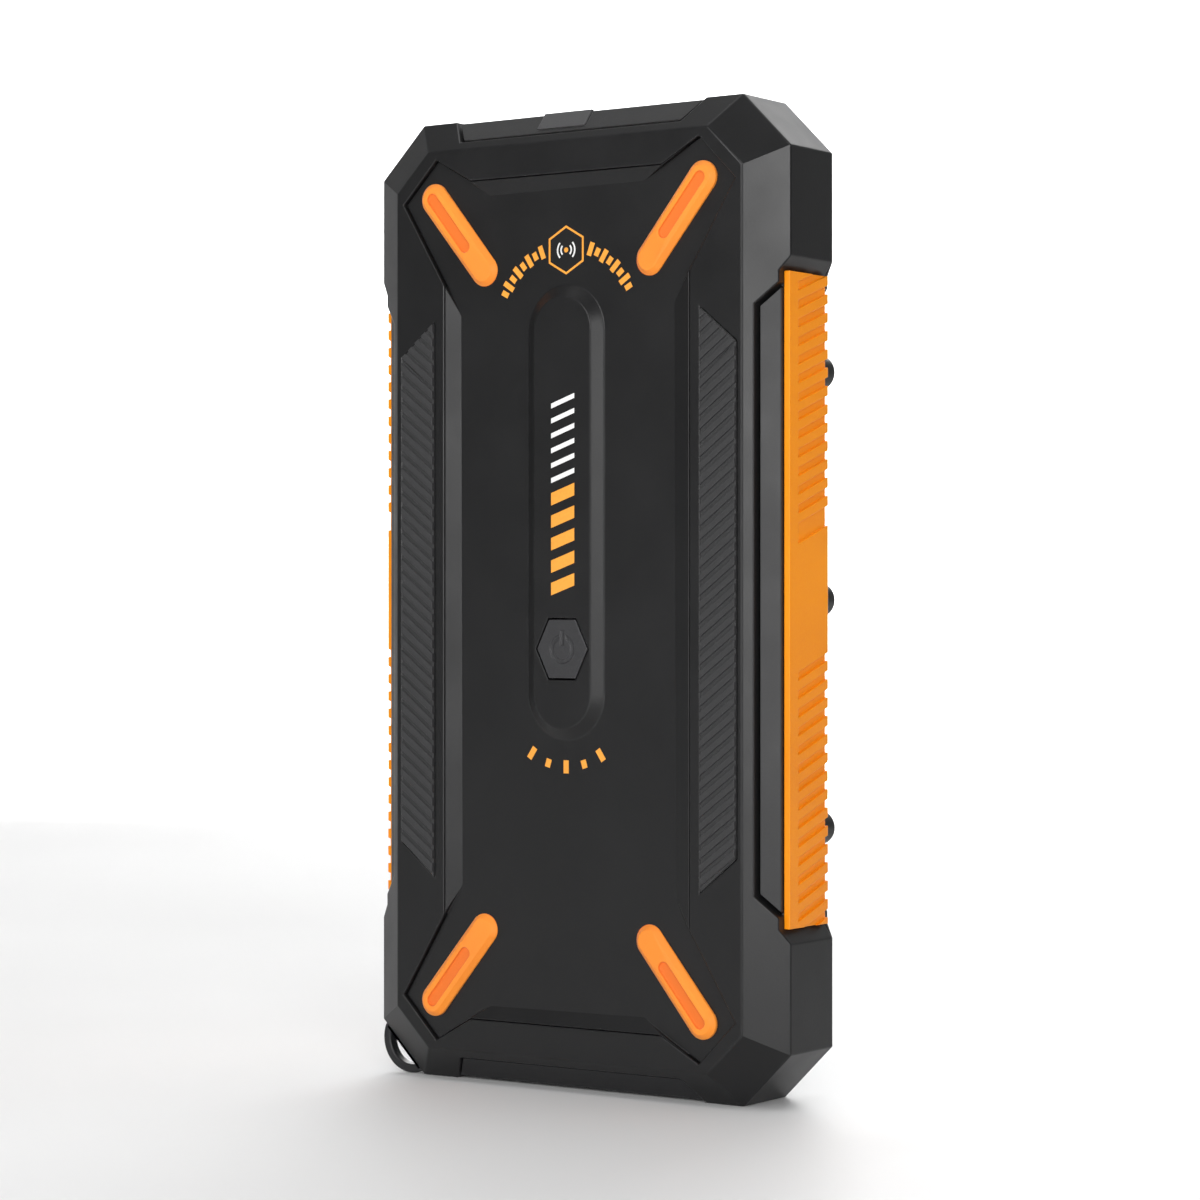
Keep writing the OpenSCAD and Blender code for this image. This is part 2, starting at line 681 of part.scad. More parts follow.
module torch_bezel() color(rubber_black) centred() difference() {
    intersection() {
        slab(0.4);
        mirror([0, 0, 1]) slice(-half_t, parting_y - 0.1) recess_outline(-0.12);
    }
    torch_slot(torch_half, 3.2, -half_h - 1, -half_h + 3);
    torch_slot(torch_half, 4.1, torch_z + 1.5, -recess_z + 1);
}

module torch_lens() color([0.85, 0.9, 0.95, 0.4]) centred() {
    torch_slot(torch_half, 3.1, torch_z, torch_z + 1.6);
    torch_slot(torch_half, 4, torch_z + 1.6, torch_z + 2.2);
}

module torch_reflector() color(metal) centred() difference() {
    torch_slot(torch_half, 4, torch_z + 2.25, -67.8);
    for (x = [-torch_half, torch_half]) translate([x, 0, torch_z + 2.2])
        cylinder(r1 = 3.6, r2 = 1.9, h = 4.7);
}

module torch_leds() color([1, 0.95, 0.6]) centred() for (x = [-torch_half, torch_half])
    box([x - 1.2, -1.2, -68.5], [x + 1.2, 1.2, -67.7]);

module torch_board() color(board_green) centred() box([-12, -4.3, -67.7], [12, 4.3, -66.7]);

// ---------- Charge indicator in the -X wall ----------

module indicator_plate() color(rail_grey) centred() difference() {
    translate([-half_w + 0.05, 0, -59.3]) rotate([90, 0, 90]) linear_extrude(height = 0.9)
        polygon(four_way([[2.95, 6], [2, 6.95]]));
    for (z = indicator_z) translate([-half_w - 1, 0, z]) rotate([0, 90, 0]) cylinder(r = 0.6, h = 4);
}

module indicator_leds() color([0.7, 0.95, 1]) centred() for (z = indicator_z)
    translate([-half_w + 0.05, 0, z]) rotate([0, 90, 0]) cylinder(r = 0.55, h = 1.9);

module indicator_board() color(board_green) centred() box([-36, -4, -65], [-35.2, 4, -52]);

// ---------- Lanyard loop on the lower -X corner ----------

module lanyard_loop() color(rubber_black) centred() {
    rotate([0, 45, 0]) difference() {
        pin_y(loop_along, -loop_out, loop_r[1], loop_y[0], loop_y[1]);
        pin_y(loop_along, -loop_out, loop_r[0], loop_y[0] - 1, loop_y[1] + 1);
        box([loop_along - 8, loop_y[0] - 1, -half_d], [loop_along + 8, loop_y[1] + 1, 0]);
    }
    loop_foot();
}

front_shell();
rear_frame();
side_rail_left();
side_rail_right();
side_strip_left();
side_strip_right();
charging_panel();
grip_left();
grip_right();
pad_upper_left();
pad_upper_right();
pad_lower_left();
pad_lower_right();
power_button();
button_switch();
switch_board();
port_cover();
cover_pull_tab();
cover_hinge_pin();
main_board();
usb_a_shell_left();
usb_a_shell_right();
usb_a_tongue_left();
usb_a_tongue_right();
usb_c_shell();
usb_c_tongue();
controller_chip();
power_inductors();
filter_capacitors();
battery_cell_front();
battery_cell_rear();
cell_tabs();
protection_board();
battery_foam();
charging_coil();
ferrite_sheet();
solar_board();
solar_cells();
cell_ribbons();
solar_window();
window_gasket();
shell_gasket();
corner_screws();
side_screws();
screw_inserts();
torch_bezel();
torch_lens();
torch_reflector();
torch_leds();
torch_board();
indicator_plate();
indicator_leds();
indicator_board();
lanyard_loop();
battery_leads();
solar_leads();
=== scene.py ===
"""Looks of the solar phone charger: mouldings, corner pads, prints, cell fingers, screws and finishes."""
import json
import math

import bmesh
import bpy
from mathutils import Matrix, Vector


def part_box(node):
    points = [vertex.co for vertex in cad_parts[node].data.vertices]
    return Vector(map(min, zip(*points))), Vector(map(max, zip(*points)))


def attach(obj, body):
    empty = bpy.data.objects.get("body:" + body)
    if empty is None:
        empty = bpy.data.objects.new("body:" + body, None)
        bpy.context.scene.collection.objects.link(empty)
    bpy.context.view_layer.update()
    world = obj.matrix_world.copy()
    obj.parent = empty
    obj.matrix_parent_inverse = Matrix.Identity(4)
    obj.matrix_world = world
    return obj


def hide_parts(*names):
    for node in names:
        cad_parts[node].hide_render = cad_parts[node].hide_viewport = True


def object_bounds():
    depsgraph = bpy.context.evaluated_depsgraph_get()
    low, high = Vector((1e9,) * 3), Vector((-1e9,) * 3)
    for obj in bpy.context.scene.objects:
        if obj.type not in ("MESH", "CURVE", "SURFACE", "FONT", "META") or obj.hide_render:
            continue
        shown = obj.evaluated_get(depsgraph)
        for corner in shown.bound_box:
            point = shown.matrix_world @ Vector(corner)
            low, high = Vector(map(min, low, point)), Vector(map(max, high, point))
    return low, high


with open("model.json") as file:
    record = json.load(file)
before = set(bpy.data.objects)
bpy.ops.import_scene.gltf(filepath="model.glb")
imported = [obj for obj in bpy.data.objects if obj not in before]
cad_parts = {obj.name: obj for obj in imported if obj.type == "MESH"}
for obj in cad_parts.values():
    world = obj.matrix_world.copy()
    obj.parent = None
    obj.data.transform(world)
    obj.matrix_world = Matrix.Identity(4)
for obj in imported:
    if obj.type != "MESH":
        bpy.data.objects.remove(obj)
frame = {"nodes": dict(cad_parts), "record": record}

# One millimetre, in the metres of the scene
MM = 0.001
CAD_NODES = frame["nodes"]
CAD_LOW, CAD_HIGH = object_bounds()
MIDDLE_Z = (CAD_LOW.z + CAD_HIGH.z) / 2
SLOTS = {row["node"]: row["material_slot"] for row in frame["record"]["subparts"]}
BODIES = frame["record"]["behaviour"]["bodies"]
BODY_OF = {node: body for body, nodes in BODIES.items() for node in nodes}


# ---------- Materials ----------

NOISE_ROUGHNESS = 0.55


class Finish:
    """One material, with short calls for the nodes that it is built from."""

    def __init__(self, name):
        self.material = bpy.data.materials.new(name)
        self.material.use_nodes = True
        self.tree = self.material.node_tree
        self.shader = next(n for n in self.tree.nodes if n.type == "BSDF_PRINCIPLED")
        self.place = self.add("ShaderNodeTexCoord").outputs["Object"]

    def add(self, kind, **settings):
        """A new node with these settings."""
        node = self.tree.nodes.new(kind)
        for key, value in settings.items():
            setattr(node, key, value)
        return node

    def feed(self, socket, value):
        """Links value to a socket, or sets it there when it is a constant."""
        if isinstance(value, bpy.types.NodeSocket):
            self.tree.links.new(value, socket)
        else:
            socket.default_value = value

    def noise(self, size, detail=3.0, stretch=(1, 1, 1)):
        """Noise whose features are about size across."""
        mapping = self.add("ShaderNodeMapping")
        mapping.inputs["Scale"].default_value = stretch
        self.feed(mapping.inputs["Vector"], self.place)
        node = self.add("ShaderNodeTexNoise")
        self.feed(node.inputs["Vector"], mapping.outputs["Vector"])
        node.inputs["Scale"].default_value = 1 / size
        node.inputs["Detail"].default_value = detail
        node.inputs["Roughness"].default_value = NOISE_ROUGHNESS
        return node.outputs["Fac"]

    def spread(self, value, low, high, start=0.3, end=0.7):
        """value, with its range from start to end moved to low to high."""
        node = self.add("ShaderNodeMapRange")
        self.feed(node.inputs["Value"], value)
        for key, number in (("From Min", start), ("From Max", end), ("To Min", low), ("To Max", high)):
            node.inputs[key].default_value = number
        return node.outputs["Result"]

    def times(self, a, b):
        """The product of two values."""
        node = self.add("ShaderNodeMath", operation="MULTIPLY")
        self.feed(node.inputs[0], a)
        self.feed(node.inputs[1], b)
        return node.outputs[0]

    def blend(self, amount, first, second):
        """A colour between two others, by amount."""
        node = self.add("ShaderNodeMix", data_type="RGBA")
        self.feed(node.inputs["Factor"], amount)
        self.feed(node.inputs["A"], first)
        self.feed(node.inputs["B"], second)
        return node.outputs["Result"]

    def edge(self):
        """1 on the rounded edges of a piece, 0 elsewhere."""
        return self.add("ShaderNodeAttribute", attribute_name="edge").outputs["Fac"]

    def bump(self, heights):
        """Bumps laid over each other, from a list of (height socket, depth)."""
        normal = None
        for height, depth in heights:
            node = self.add("ShaderNodeBump")
            node.inputs["Distance"].default_value = depth
            self.feed(node.inputs["Height"], height)
            if normal:
                self.feed(node.inputs["Normal"], normal)
            normal = node.outputs["Normal"]
        self.feed(self.shader.inputs["Normal"], normal)

    def set(self, **values):
        """Constants on the shader's own sockets, named with underscores."""
        for key, value in values.items():
            self.shader.inputs[key.replace("_", " ")].default_value = value


def tint(colour, factor):
    """A colour made lighter or darker by a factor."""
    return (*(min(1.0, c * factor) for c in colour[:3]), 1.0)


PLASTIC_GLOSS = 0.36


def moulded(name, colour, rough=(0.30, 0.39), grain=0.35 * MM, grain_depth=0.007 * MM,
            rub_and_highlight_reach=0.35, rub_and_highlight_gain=2.6):
    """Moulded plastic: spark-eroded grain, faint tone changes, edges painted lighter in places, partly as
    rubbed wear and partly as painted highlight.

    rub_and_highlight_reach is how far the edges are lightened, and rub_and_highlight_gain how many times
    lighter they are there.
    """
    f = Finish(name)
    grains = f.noise(grain, detail=2.0)
    patches = f.noise(30 * MM, detail=5.0)
    # Lighter edges in noisy patches: partly rubbed wear, partly painted highlight.
    rub_and_highlight = f.times(f.edge(), f.spread(f.noise(6 * MM, detail=4.0), 0.0, rub_and_highlight_reach, 0.42, 0.62))
    tone = f.blend(f.spread(patches, 0, 1), tint(colour, 0.9), tint(colour, 1.12))
    speckled = f.blend(f.spread(grains, 0, 0.35), tone, tint(colour, 1.35))
    f.feed(f.shader.inputs["Base Color"], f.blend(rub_and_highlight, speckled, tint(colour, rub_and_highlight_gain)))
    f.feed(f.shader.inputs["Roughness"], f.spread(f.noise(12 * MM, detail=6.0), rough[0], rough[1]))
    f.bump([(f.noise(20 * MM, detail=2.0), 0.03 * MM), (grains, grain_depth)])
    f.set(Specular_IOR_Level=PLASTIC_GLOSS)
    return f.material


# Share of red, green and blue that the painted shade in a hollow of the rubber keeps
HOLLOW_SHADE_SHARES = (0.82, 0.62, 0.5)


def rubber(name, colour, rough=(0.6, 0.78)):
    """Soft rubber: fine matt skin with a little bloom, and painted shade where the piece is marked as a
    hollow.
    """
    f = Finish(name)
    skin = f.noise(0.3 * MM)
    bloom = f.noise(14 * MM, detail=6.0)
    tone = f.blend(f.spread(bloom, 0, 1, 0.35, 0.75), tint(colour, 0.92), tint(colour, 1.12))
    # Faces marked as a hollow get a darker colour: painted shade in the slot.
    hollow = f.add("ShaderNodeAttribute", attribute_name="hollow").outputs["Fac"]
    hollow_shade_colour = (*(c * share for c, share in zip(colour, HOLLOW_SHADE_SHARES)), 1.0)
    f.feed(f.shader.inputs["Base Color"], f.blend(hollow, tone, hollow_shade_colour))
    f.feed(f.shader.inputs["Roughness"], f.spread(bloom, rough[0], rough[1]))
    f.bump([(skin, 0.025 * MM), (f.noise(4 * MM), 0.02 * MM)])
    f.set(Sheen_Weight=0.15, Sheen_Roughness=0.5)
    return f.material


def metal(name, colour, rough=(0.22, 0.38)):
    """Metal with drawn lines and slightly uneven polish."""
    f = Finish(name)
    lines = f.noise(4 * MM, detail=4.0, stretch=(1, 1, 30))
    tone = f.blend(f.spread(lines, 0, 1), tint(colour, 0.85), tint(colour, 1.1))
    f.feed(f.shader.inputs["Base Color"], tone)
    f.feed(f.shader.inputs["Roughness"], f.spread(f.noise(3 * MM), rough[0], rough[1]))
    f.bump([(lines, 0.008 * MM)])
    f.set(Metallic=1.0)
    return f.material


def clear(name, colour, alpha):
    """Clear hard resin or lens, with a faint haze of fine scratches."""
    f = Finish(name)
    haze = f.noise(10 * MM, detail=8.0)
    f.feed(f.shader.inputs["Base Color"], f.blend(f.spread(haze, 0, 0.4), colour, tint(colour, 1.3)))
    f.feed(f.shader.inputs["Roughness"], f.spread(haze, 0.04, 0.12))
    f.bump([(f.noise(6 * MM, stretch=(1, 1, 6)), 0.004 * MM)])
    f.set(Alpha=alpha, IOR=1.5, Specular_IOR_Level=0.6)
    return f.material


FLAKES_PER_METRE = 450


def silicon(name, colour):
    """Solar cell: dark crystal flakes that differ in tone under a smooth skin."""
    f = Finish(name)
    flakes = f.add("ShaderNodeTexVoronoi")
    flakes.inputs["Scale"].default_value = FLAKES_PER_METRE
    f.feed(flakes.inputs["Vector"], f.place)
    tone = f.spread(flakes.outputs["Distance"], 0.0, 1.0, 0.1, 0.8)
    f.feed(f.shader.inputs["Base Color"], f.blend(tone, tint(colour, 0.75), tint(colour, 1.5)))
    f.feed(f.shader.inputs["Roughness"], f.spread(f.noise(2 * MM), 0.28, 0.42))
    f.bump([(flakes.outputs["Distance"], 0.005 * MM)])
    return f.material


TRACKS_PER_METRE = 260


def circuit(name, colour):
    """Solder mask with the tracks under it showing as slightly raised, paler lines."""
    f = Finish(name)
    tracks = f.add("ShaderNodeTexBrick", offset=0.35, squash=1.0)
    tracks.inputs["Scale"].default_value = TRACKS_PER_METRE
    tracks.inputs["Mortar Size"].default_value = 0.03
    turned = f.add("ShaderNodeMapping")
    turned.inputs["Rotation"].default_value = (math.pi / 2, 0, 0)
    f.feed(turned.inputs["Vector"], f.place)
    f.feed(tracks.inputs["Vector"], turned.outputs["Vector"])
    f.feed(f.shader.inputs["Base Color"],
           f.blend(tracks.outputs["Fac"], tint(colour, 1.0), tint(colour, 1.9)))
    f.feed(f.shader.inputs["Roughness"], f.spread(f.noise(2 * MM), 0.25, 0.4))
    f.bump([(tracks.outputs["Fac"], 0.02 * MM)])
    return f.material


def glowing(name, colour, strength):
    """A mottled light source that glows by strength."""
    f = Finish(name)
    tone = f.blend(f.spread(f.noise(1 * MM), 0, 1), colour, tint(colour, 0.8))
    f.feed(f.shader.inputs["Base Color"], tone)
    f.feed(f.shader.inputs["Roughness"], f.spread(f.noise(0.8 * MM), 0.25, 0.4))
    f.set(Emission_Color=colour, Emission_Strength=strength)
    return f.material


SHELL_BLACK = (0.0072, 0.0072, 0.0077)
RAIL_GREY = (0.014, 0.014, 0.0149)
STRIP_ORANGE = (1.0, 0.275, 0.0)
PAD_ORANGE = (1.0, 0.275, 0.016)
PRINT_WHITE = (0.80, 0.80, 0.79)

FINISHES = {
    "shell": moulded("shell_plastic", SHELL_BLACK),
    "panel": moulded("panel_plastic", SHELL_BLACK, rough=(0.31, 0.40)),
    "rail": moulded("rail_plastic", RAIL_GREY, rough=(0.36, 0.46)),
    "strip": moulded("strip_plastic", STRIP_ORANGE, rough=(0.32, 0.45), grain_depth=0.006 * MM,
                     rub_and_highlight_reach=0.25, rub_and_highlight_gain=1.15),
    "grip": rubber("grip_rubber", (0.020, 0.020, 0.0212), rough=(0.5, 0.65)),
    "pad": rubber("pad_rubber", PAD_ORANGE, rough=(0.5, 0.68)),
    "button": moulded("button_plastic", (0.034, 0.034, 0.036), grain=0.4 * MM, grain_depth=0.03 * MM),
    "plated_steel": metal("plated_steel", (0.62, 0.63, 0.65)),
    "circuit_board": circuit("circuit_board", (0.02, 0.10, 0.05)),
    "cover_rubber": rubber("cover_rubber", (0.009, 0.009, 0.0095)),
    "pull_tab": rubber("tab_rubber", (0.045, 0.045, 0.047)),
    "socket_tongue": moulded("socket_plastic", (0.85, 0.28, 0.02)),
    "chip": moulded("chip_epoxy", (0.02, 0.02, 0.02)),
    "capacitor": moulded("capacitor_ceramic", (0.35, 0.22, 0.10)),
    "pouch_foil": metal("pouch_foil", (0.60, 0.61, 0.62), rough=(0.35, 0.55)),
    "nickel": metal("nickel_strip", (0.66, 0.65, 0.62)),
    "foam": rubber("foam", (0.05, 0.05, 0.05), rough=(0.8, 0.95)),
    "copper": metal("enamelled_copper", (0.72, 0.32, 0.16)),
    "ferrite": moulded("ferrite", (0.06, 0.06, 0.065)),
    "solar_board": moulded("solar_laminate", (0.012, 0.014, 0.020), rough=(0.3, 0.4)),
    "solar_cell": silicon("silicon", (0.016, 0.019, 0.030)),
    "ribbon": metal("tinned_ribbon", (0.60, 0.61, 0.64)),
    "clear_window": clear("window_resin", (0.02, 0.024, 0.032, 1), 0.16),
    "gasket": rubber("gasket_rubber", (0.02, 0.02, 0.02)),
    "screw": metal("black_oxide_steel", (0.17, 0.17, 0.18), rough=(0.3, 0.45)),
    "insert": metal("brass", (0.72, 0.52, 0.22)),
    "bezel": moulded("bezel_plastic", (0.012, 0.012, 0.013)),
    "torch_lens": clear("lens_acrylic", (0.8, 0.85, 0.9, 1), 0.25),
    "reflector": metal("reflector_coating", (0.80, 0.80, 0.82), rough=(0.05, 0.12)),
    "led": glowing("led_phosphor", (0.90, 0.80, 0.35, 1), 0.0),
    "indicator": moulded("indicator_plastic", (0.055, 0.055, 0.058), rough=(0.3, 0.4)),
    "indicator_light": glowing("indicator_glow", (0.55, 0.93, 1.0, 1), 1.6),
    "loop": moulded("loop_nylon", (0.014, 0.014, 0.015)),
    "lead": rubber("lead_sleeve", (0.75, 0.08, 0.05)),
}
ORANGE_INK = moulded("orange_ink", (0.93, 0.36, 0.05), grain_depth=0.004 * MM, rub_and_highlight_reach=0.0)
WHITE_INK = moulded("white_ink", PRINT_WHITE, grain_depth=0.004 * MM, rub_and_highlight_reach=0.0)
FINGER_SILVER = metal("silver_paste", (0.62, 0.64, 0.68), rough=(0.35, 0.5))


# ---------- Shaping tools ----------

def piece(name, mesh, body, slot, *stands_for, material=None):
    """A finished object that rides on a body, takes its look from a slot and stands for CAD nodes."""
    thing = bpy.data.objects.new(name, mesh)
    bpy.context.scene.collection.objects.link(thing)
    mesh.materials.clear()
    mesh.materials.append(material or FINISHES[slot])
    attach(thing, body)
    if stands_for:
        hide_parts(*stands_for)


# Facets larger than this are shaded flat
BROAD_FACET = 6 * MM * MM
# Cosine of the widest angle between two facets that are shaded as one curve
WIDEST_BLEND = 0.5


def weighted(mesh):
    """The same mesh with its broad facets shaded flat and its small ones blended into them."""
    touching = [[] for _ in mesh.vertices]
    for face in mesh.polygons:
        face.use_smooth = True
        for corner in face.vertices:
            touching[corner].append(face)
    normals = []
    for face in mesh.polygons:
        for corner in face.vertices:
            if face.area > BROAD_FACET:
                normals.append(face.normal.copy())
                continue
            total = Vector()
            for other in touching[corner]:
                if other.normal.dot(face.normal) > WIDEST_BLEND:
                    total += other.normal * other.area
            normals.append(total.normalized())
    mesh.normals_split_custom_set(normals)
    return mesh


def flattened(holder):
    """The holder's evaluated mesh as plain geometry; the holder is removed."""
    bpy.context.view_layer.update()
    graph = bpy.context.evaluated_depsgraph_get()
    mesh = bpy.data.meshes.new_from_object(holder.evaluated_get(graph), depsgraph=graph)
    bpy.data.objects.remove(holder)
    return mesh


WELD_DISTANCE = 0.002 * MM
COPLANAR = math.radians(0.8)
SHARP_EDGE = math.radians(25)


def round_edges(work, radius):
    """Rounds the sharp edges in two steps, and marks the new faces in the attribute 'edge'."""
    mark = work.faces.layers.float.new("edge")
    sharp = [e for e in work.edges if len(e.link_faces) == 2 and e.calc_face_angle() > SHARP_EDGE]
    made = bmesh.ops.bevel(work, geom=sharp, offset=radius, offset_type="OFFSET", segments=2,
                           profile=0.6, affect="EDGES", clamp_overlap=False, miter_outer="SHARP")
    for face in made["faces"]:
        face[mark] = 1.0


def rounded_copy(node, radius):
    """Mesh of a CAD node with its flat areas joined and its sharp edges rounded."""
    work = bmesh.new()
    work.from_mesh(CAD_NODES[node].data)
    bmesh.ops.remove_doubles(work, verts=work.verts, dist=WELD_DISTANCE)
    bmesh.ops.dissolve_limit(work, angle_limit=COPLANAR, use_dissolve_boundaries=False,
                             verts=work.verts, edges=work.edges)
    round_edges(work, radius)
    return weighted(finished_mesh(work, node + "_rounded"))


def finished_mesh(work, name):
    """The plain mesh of a bmesh, which is freed."""
    mesh = bpy.data.meshes.new(name)
    work.to_mesh(mesh)
    work.free()
    return mesh


def moulding(node, name, radius):
    """A CAD node's shape with rounded edges, in its own finish."""
    piece(name, rounded_copy(node, radius), BODY_OF[node], SLOTS[node], node)


def loft(rings, name):
    """Skins a list of equal closed rings of points, with flat caps on the first and last."""
    work = bmesh.new()
    rows = [[work.verts.new(p) for p in ring] for ring in rings]
    count = len(rows[0])
    for near, far in zip(rows, rows[1:]):
        for i in range(count):
            work.faces.new((near[i], near[(i + 1) % count], far[(i + 1) % count], far[i]))
    work.faces.new(rows[0])
    work.faces.new(rows[-1])
    bmesh.ops.recalc_face_normals(work, faces=work.faces)
    return finished_mesh(work, name)


# ---------- Geometry Nodes tools ----------

class Tree:
    """One Geometry Nodes tree with named inputs."""

    def __init__(self, name):
        self.group = bpy.data.node_groups.new(name, "GeometryNodeTree")
        self.group.interface.new_socket("Geometry", in_out="OUTPUT", socket_type="NodeSocketGeometry")
        self.inside = self.group.nodes.new("NodeGroupInput")
        self.outside = self.group.nodes.new("NodeGroupOutput")

    def want(self, name, kind):
        """A new named input of the tree."""
        self.group.interface.new_socket(name, in_out="INPUT", socket_type="NodeSocket" + kind)
        return self.inside.outputs[name]

    def add(self, kind, **inputs):
        """A new node with these inputs, each a socket to link or a constant."""
        node = self.group.nodes.new(kind)
        for key, value in inputs.items():
            socket = node.inputs[key.replace("_", " ")]
            if isinstance(value, bpy.types.NodeSocket):
                self.group.links.new(value, socket)
            else:
                socket.default_value = value
        return node

    def row(self, count, step, start, what):
        """count copies of what, step apart, from start."""
        line = self.add("GeometryNodeMeshLine", Count=count, Offset=step, Start_Location=start)
        copies = self.add("GeometryNodeInstanceOnPoints", Points=line.outputs["Mesh"], Instance=what)
        return copies.outputs["Instances"]

    def end(self, what, material):
        """Makes the copies real and gives them their material."""
        real = self.add("GeometryNodeRealizeInstances", Geometry=what)
        done = self.add("GeometryNodeSetMaterial", Geometry=real.outputs["Geometry"], Material=material)
        self.group.links.new(done.outputs["Geometry"], self.outside.inputs["Geometry"])

    def make(self, **values):
        """The mesh that the tree gives for these values of its inputs."""
        holder = bpy.data.objects.new("holder", bpy.data.meshes.new("holder"))
        bpy.context.scene.collection.objects.link(holder)
        modifier = holder.modifiers.new("nodes", "NODES")
        modifier.node_group = self.group
        names = {i.name: i.identifier for i in self.group.interface.items_tree if i.in_out == "INPUT"}
        for key, value in values.items():
            modifier[names[key]] = value
        return flattened(holder)


def tool_object(name, mesh):
    """A source shape for a tree, removed after use."""
    thing = bpy.data.objects.new(name, mesh)
    bpy.context.scene.collection.objects.link(thing)
    return thing


# ---------- Mouldings ----------

for node, name, radius in (
        ("front_shell", "charging_side_shell", 0.22 * MM),
        ("rear_frame", "solar_side_frame", 0.2 * MM),
        ("side_rail_left", "waist_rail_left", 0.16 * MM),
        ("side_rail_right", "waist_rail_right", 0.16 * MM),
        ("charging_panel", "inset_panel", 0.16 * MM),
        ("port_cover", "rubber_port_cover", 0.2 * MM),
        ("cover_pull_tab", "port_cover_tab", 0.16 * MM),
        ("torch_bezel", "torch_surround", 0.16 * MM),
        ("indicator_plate", "charge_level_plate", 0.12 * MM),
        ("lanyard_loop", "cord_eyelet", 0.3 * MM),
        ("side_strip_left", "ribbed_strip_left", 0.14 * MM),
        ("side_strip_right", "ribbed_strip_right", 0.14 * MM),
        ("grip_left", "ribbed_grip_left", 0.12 * MM),
        ("grip_right", "ribbed_grip_right", 0.12 * MM),
        ("power_button", "hexagon_button", 0.12 * MM)):
    moulding(node, name, radius)


# ---------- Orange corner pads ----------

# Half the pad's width, its length between the centres of its ends, the place along it where its slope
# starts, and half the width of its slot
PAD_HALF = 2.45 * MM
PAD_LENGTH = 15 * MM
PAD_BULB = 4.6 * MM
SLOT_HALF = 0.92 * MM
# Centre of the pad's inner end on the panel, and its lean from upright
PAD_START = (15.4 * MM, 0, 51 * MM)
PAD_LEAN = math.radians(39.3)
RING_POINTS = 40


def stadium(low, high, radius, y):
    """Ring of points round a bar with round ends that lies along Z; y is a number or a rule of z."""
    points = []
    for i in range(RING_POINTS):
        angle = 2 * math.pi * (i + 0.5) / RING_POINTS
        z = (high if math.sin(angle) > 0 else low) + radius * math.sin(angle)
        points.append(Vector((radius * math.cos(angle), y(z) if callable(y) else y, z)))
    return points


def pad_mesh(name, foot, top):
    """Soft bar along an arm of the panel: rounded rim, a slot towards the corner and a sloping bulb."""
    lowest_rim = 0.35 * MM
    fall_share = 0.62
    fall_power = 1.6

    def skin(depth):
        """Rule for the top skin, less a depth: full over the slot, falling round the inner bulb."""

        def rule(z):
            """Height at a place along the pad."""
            fall = max(0.0, min(1.0, (PAD_BULB - z) / (PAD_BULB + PAD_HALF)))
            return top + depth + (foot - top - lowest_rim) * fall_share * fall ** fall_power
        return rule

    rings = [stadium(0, PAD_LENGTH, PAD_HALF, foot)]
    for inset, depth in ((0, 0.85), (0.03, 0.74), (0.1, 0.64), (0.68, 0.1), (0.76, 0.04), (0.86, 0)):
        rings.append(stadium(0, PAD_LENGTH, PAD_HALF - inset * MM, skin(depth * MM)))
    slot_low, slot_high = PAD_BULB + 0.3 * MM, PAD_LENGTH - 0.1 * MM
    for radius, depth in ((1.05, 0), (0.98, 0.02), (0.93, 0.08), (0.87, 0.34), (0.8, 0.41), (0.7, 0.44)):
        rings.append(stadium(slot_low, slot_high, radius * MM, skin(depth * MM)))
    mesh = loft(rings, name)
    # Faces in the slot are marked for painted shade, a darker colour in the rubber finish.
    hollow = mesh.attributes.new("hollow", "FLOAT", "FACE")
    for face in mesh.polygons:
        x, z = face.center.x, face.center.z
        reach = math.hypot(x, max(0.0, slot_low - z, z - slot_high))
        hollow.data[face.index].value = float(reach < SLOT_HALF)
    return mesh


def place_pad(node, name, side, end):
    """side and end are +1 or -1: towards +X or -X, and up or down."""
    low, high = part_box(node)
    mesh = pad_mesh(name, high.y, low.y)
    lean = Matrix.Rotation(PAD_LEAN, 4, "Y")
    flip = Matrix.Diagonal((side, 1, end, 1))
    mesh.transform(Matrix.Translation((0, 0, MIDDLE_Z)) @ flip @ Matrix.Translation(PAD_START) @ lean)
    if side * end < 0:
        mesh.flip_normals()
    piece(name, weighted(mesh), "housing", "pad", node)


for node, name, side, end in (
        ("pad_upper_left", "corner_pad_top_left", -1, 1),
        ("pad_upper_right", "corner_pad_top_right", 1, 1),
        ("pad_lower_left", "corner_pad_low_left", -1, -1),
        ("pad_lower_right", "corner_pad_low_right", 1, -1)):
    place_pad(node, name, side, end)


# ---------- Printed marks ----------

INK = 0.03 * MM
# Front of the panel's centre bar, and floor of the panel round it
BAR_Y = -10.19 * MM
PANEL_Y = -9.05 * MM


def on_circle(centre, radius, angle):
    """(x, z) of the point on a circle at an angle in radians from +X."""
    return centre[0] + radius * math.cos(angle), centre[1] + radius * math.sin(angle)


def outline_plate(work, outer, inner):
    """Raised line on the panel between two equal closed rows of (x, z) points."""
    rings = [[work.verts.new((x, y, z)) for x, z in row]
             for y in (PANEL_Y, PANEL_Y - INK) for row in (outer, inner)]
    count = len(outer)
    for first, second in ((0, 1), (2, 3), (0, 2), (1, 3)):
        for i in range(count):
            j = (i + 1) % count
            work.faces.new((rings[first][i], rings[first][j], rings[second][j], rings[second][i]))


def plate(work, points, y=PANEL_Y):
    """Raised flat patch on a closed row of (x, z) points."""
    back, front = ([work.verts.new((x, depth, z)) for x, z in points] for depth in (y, y - INK))
    work.faces.new(back)
    work.faces.new(front)
    for i in range(len(points)):
        j = (i + 1) % len(points)
        work.faces.new((back[i], back[j], front[j], front[i]))


